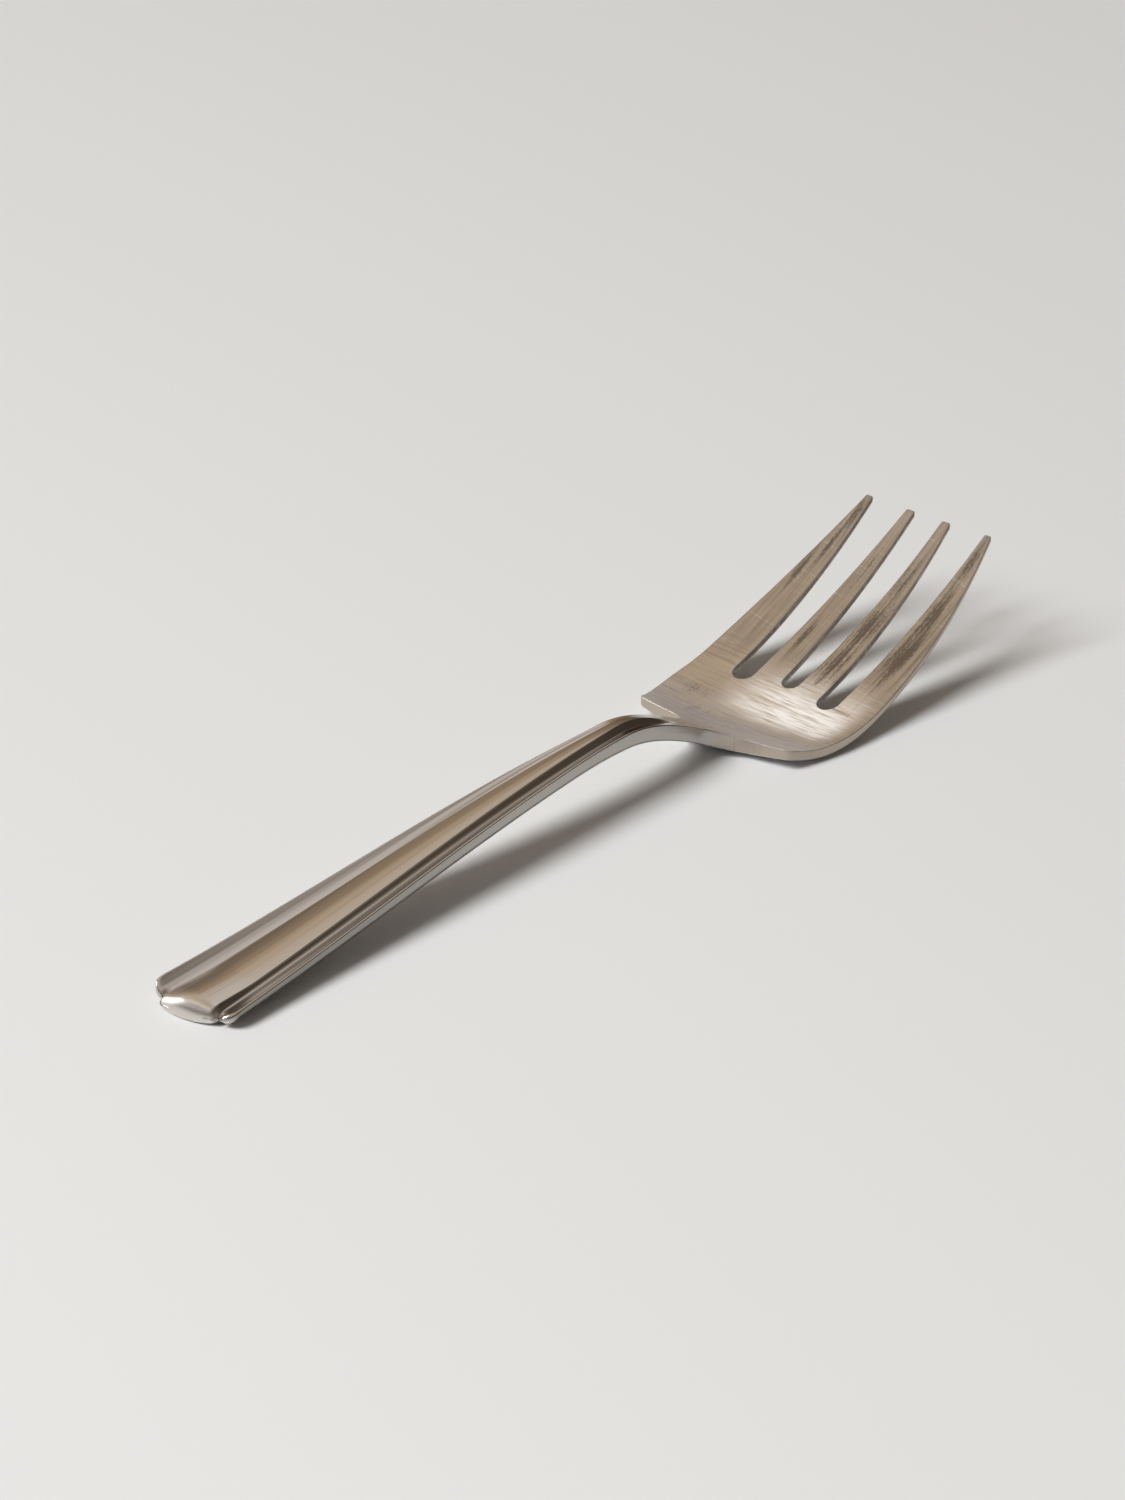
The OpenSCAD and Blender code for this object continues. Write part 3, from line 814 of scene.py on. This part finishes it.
for f in (0.2, 0.4, 0.6, 0.75):
    head_rows.append([])
    for line in head_lines:
        x = fan_from + (root_at(line) - root_gaps[0] - fan_from) * f
        head_rows[-1].append((x, line_y(line, x)))
for gap in root_gaps:
    head_rows.append([(root_at(line) - gap, line_y(line, root_at(line) - gap)) for line in head_lines])
root_row = len(head_rows) - 1
for f in (0.33, 0.67, 1.0):
    head_rows.append([])
    for line in head_lines:
        x = root_at(line) + (tines_from - root_at(line)) * f
        head_rows[-1].append((x, line_y(line, x)))
for x in (tines_from + 0.5, tines_from + 1.0):
    head_rows.append([(x, line_y(line, x)) for line in head_lines])


def head_is_metal(i, j):
    """Whether a cell of the head's rows is metal and not part of a slot."""
    m, k = head_lines[j]
    return i < root_row or (m % 2 == 0 and k < len(tine_lines) - 1)


def head_shape(x, y, size):
    """Top and underside of the head and tines."""
    profile = [
        (handle_l, crest_h, 0),
        (rear_at, size["Rear Height"], -math.tan(math.radians(rear_fall))),
        (belly_at, head_edge - table_wear, 0),
        (middle_root, size["Root Height"], math.tan(math.radians(root_rise))),
        (tips_at, size["Tip Height"], math.tan(math.radians(tip_rise))),
    ]
    gauge = [
        (head_from, neck_edge, 0),
        (rear_at, head_edge, 0),
        (belly_at, head_edge, 0),
        (middle_root, tine_edge_root, 0),
        (tips_at, tine_edge_tip, 0),
    ]
    across = abs(y)
    dish = share_of(x, head_from, corner_at, smooth=True) * size["Dish"] \
        + share_of(x, belly_at, tines_from, smooth=True) * (size["Tine Dish"] - size["Dish"])
    top = along(x, profile) + dish * (across * (2 / head_w)) ** 2
    spine = share_of(x, head_from, rear_at, smooth=True) * (1 - share_of(x, rear_at, spine_to, smooth=True))
    spine = spine * size["Spine"] * work_out("MAXIMUM", 1 - across * (2 / rear_w), 0.0)
    bottom = work_out("MAXIMUM", top - along(x, gauge) - spine, 0.0)
    on_tines = share_of(x, fan_from, tines_from, smooth=True)
    bottom_round = edge_round + (tine_under_round - edge_round) * on_tines
    return top, bottom, share_of(x, 0, 1) * edge_round, bottom_round, 0.0


head_die = die("head die", {
    "Rear Height": rear_h,
    "Root Height": root_h,
    "Tip Height": tip_h,
    "Dish": dish_depth,
    "Tine Dish": tine_dish,
    "Spine": spine_depth,
}, head_shape)

head_seams = [(head_from, -1), (tines_from, 1)]
head = pressed("head", blank("head", head_rows, head_is_metal), head_die, satin, head_seams)
head_marks = [(153, 14.5, 2.5, 3.5, 0.5), (147, 10, 3, 6, 0.35), (163.5, -15, 4, 3, 0.3)]
head_marks += [(140, -8, 0.5, 1.2, 0.5), (140.3, -11.5, 0.5, 0.8, 0.5)]
stained_and_shaded(head, head_marks, 0.8)
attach(head, "root")
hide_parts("head")


# Tines
# Four prongs left between the slots, thinned from root to tip and ground blunt at the ends. They are part
# of the same blank and go on from the head without a joint.
tip_round = 0.35
tine_marks = {
    "right_outer_tine": [(178, -15.6, 8, 2.4, 0.95), (187, -15, 8, 1.9, 0.95), (199.5, -14.8, 4, 1.1, 0.8)],
    "right_inner_tine": [(172, -5.0, 7, 3.2, 0.78), (181, -4.6, 7, 2.8, 0.9), (191, -4.2, 7, 1.6, 0.7)],
    "left_inner_tine": [(175.5, 5.6, 5, 1.0, 0.65), (182, 4, 5, 0.6, 0.5), (194, 4.6, 7, 0.7, 0.7)],
    "left_outer_tine": [(187, 17, 5, 1.0, 0.65), (194.5, 15.4, 6, 0.9, 0.8), (201, 14.4, 4, 0.8, 0.8)],
}
tine_rows_at = [tines_from - 1.0, tines_from - 0.5, tines_from] + spread(tines_from, tips_at - 0.6, 70)
tine_rows_at += [tips_at - gap for gap in tine_rim[::-1]]
for m, name in zip((0, 2, 4, 6), tine_marks):
    tine_rows = []
    for x in tine_rows_at:
        drawn = drawn_in(tips_at - x, tip_round)
        tine_rows.append([(x, line_y((m, k), x, drawn)) for k in range(len(tine_lines))])
    tine = pressed(name, blank(name, tine_rows), head_die, satin, [(tines_from, -1)])
    stained_and_shaded(tine, tine_marks[name], 0.75)
    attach(tine, "root")
    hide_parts(name)


# Table
# A plain pale sheet of paper that the fork lies on, much larger than the picture. It is matt, so that it only
# takes the fork's shadow.
bpy.ops.mesh.primitive_plane_add(size=8.0)
table = bpy.context.object
table.name = "table"
paper = bpy.data.materials.new("pale paper")
paper.use_nodes = True
finish = paper.node_tree.nodes["Principled BSDF"]
finish.inputs["Base Color"].default_value = (0.75, 0.76, 0.765, 1)
finish.inputs["Roughness"].default_value = 0.9
finish.inputs["Specular IOR Level"].default_value = 0.2
table.data.materials.append(paper)


# Light
# A soft lamp to the left of the camera, whose glow shines in the metal, and a window that only shines there.
# The room is warm and dim: a pale horizon, a dark band above it, and a tan wall behind the fork, paler upwards.
def towards(azimuth, elevation):
    """Direction from the fork at an azimuth and an elevation in degrees."""
    a, e = math.radians(azimuth), math.radians(elevation)
    return Vector((math.cos(a) * math.cos(e), math.sin(a) * math.cos(e), math.sin(e)))


aim = Vector((0.03, 0.0, 0.0))


def lamp(name, azimuth, elevation, distance, size, watts, lights=True, shines=True):
    """Soft lamp that looks at the fork: it lights what is matt, shines in the metal, or both."""
    light = bpy.data.lights.new(name, "AREA")
    light.shape = "ELLIPSE"
    light.size, light.size_y = size
    light.energy = watts
    made = bpy.data.objects.new(name, light)
    made.location = aim + towards(azimuth, elevation) * distance
    made.rotation_euler = (aim - made.location).to_track_quat("-Z", "Y").to_euler()
    made.visible_camera = False
    made.visible_diffuse = lights
    made.visible_glossy = shines
    bpy.context.collection.objects.link(made)


lamp("softbox", 162, 46, 3.0, (1.5, 1.5), 82, shines=False)
lamp("softbox_glow", 162, 46, 3.0, (1.1, 1.1), 18)
lamp("window", 122, 22, 1.4, (0.3, 0.9), 5.0, lights=False)

room = bpy.data.worlds.new("room")
bpy.context.scene.world = room
room.use_nodes = True
nodes, links = room.node_tree.nodes, room.node_tree.links
look = nodes.new("ShaderNodeTexCoord")
part = nodes.new("ShaderNodeSeparateXYZ")
links.new(look.outputs["Generated"], part.inputs["Vector"])
up = Field(part.outputs["Z"])
back = Field(part.outputs["X"]) * 0.66 + Field(part.outputs["Y"]) * 0.75
wall = nodes.new("ShaderNodeValToRGB")
plug(wall.inputs["Fac"], up)
bands = [
    (0.0, (0.62, 0.6, 0.57)),
    (3, (0.55, 0.52, 0.48)),
    (5.5, (0.21, 0.165, 0.125)),
    (15, (0.23, 0.178, 0.13)),
    (22, (0.33, 0.25, 0.175)),
    (30, (0.4, 0.3, 0.205)),
    (40, (0.5, 0.385, 0.275)),
    (50, (0.6, 0.485, 0.37)),
    (62, (0.56, 0.46, 0.35)),
    (80, (0.5, 0.42, 0.33)),
]
while len(wall.color_ramp.elements) < len(bands):
    wall.color_ramp.elements.new(0.5)
for stop, (height, colour) in zip(wall.color_ramp.elements, bands):
    stop.position = math.sin(math.radians(height))
    stop.color = (*colour, 1)
ahead, across = Field(part.outputs["X"]), Field(part.outputs["Y"])
# A mauve wall on the right above, and a paler one behind the camera
side = (1 - share_of(across - ahead * 0.8, -0.2, 0.08, smooth=True)) * share_of(up, 0.5, 0.66, smooth=True)
side_wall = blend(share_of(across, -0.3, 0.05, smooth=True), (0.44, 0.405, 0.38, 1), (0.76, 0.71, 0.68, 1))
shade = blend(side, Field(wall.outputs["Color"]), side_wall)
near = share_of(ahead, -0.15, -0.4, smooth=True) * (1 - share_of(up, 0.5, 0.7, smooth=True))
shade = blend(near, shade, (0.62, 0.58, 0.54, 1))
# The rest of the room is dark
open_side = share_of(up, 0.68, 0.8, smooth=True) * share_of(across + ahead * 0.75, -0.2, 0.05, smooth=True)
open_side = work_out("MAXIMUM", open_side, share_of(across - ahead * 0.2, -0.12, 0.04, smooth=True))
lit = share_of(back, -0.1, 0.35, smooth=True) * open_side
lit = work_out("MAXIMUM", lit, share_of(up, 0.76, 0.88, smooth=True))
dim_side = share_of(up, 0.38, 0.58, smooth=True) * share_of(across, -0.25, -0.42, smooth=True)
lit = work_out("MAXIMUM", lit, dim_side * 0.4)
lit = work_out("MAXIMUM", lit, (1 - share_of(up, 0.05, 0.1)) * share_of(back, -0.3, 0.3, smooth=True))
plug(nodes["Background"].inputs["Color"], blend(lit, (0.085, 0.07, 0.055, 1), shade))
# It shines in the metal at full strength and fills the shadows less
ray = nodes.new("ShaderNodeLightPath")
plug(nodes["Background"].inputs["Strength"], Field(ray.outputs["Is Glossy Ray"]) * 0.4 + 0.6)


# Camera
# A long lens that looks down along the fork from behind, to the right of its handle, and keeps its lines
# almost parallel.
lens = bpy.data.cameras.new("camera")
lens.lens = 156.0
lens.sensor_width = 36.0
camera = bpy.data.objects.new("camera", lens)
view_from = Vector((-0.798798, -0.681595, 0.539309))
view_to = Vector((0.018378, 0.019687, 0.0))
camera.location = view_from
camera.rotation_euler = (view_to - view_from).to_track_quat("-Z", "Y").to_euler()
bpy.context.collection.objects.link(camera)
bpy.context.scene.camera = camera
bpy.context.scene.view_settings.view_transform = "Standard"
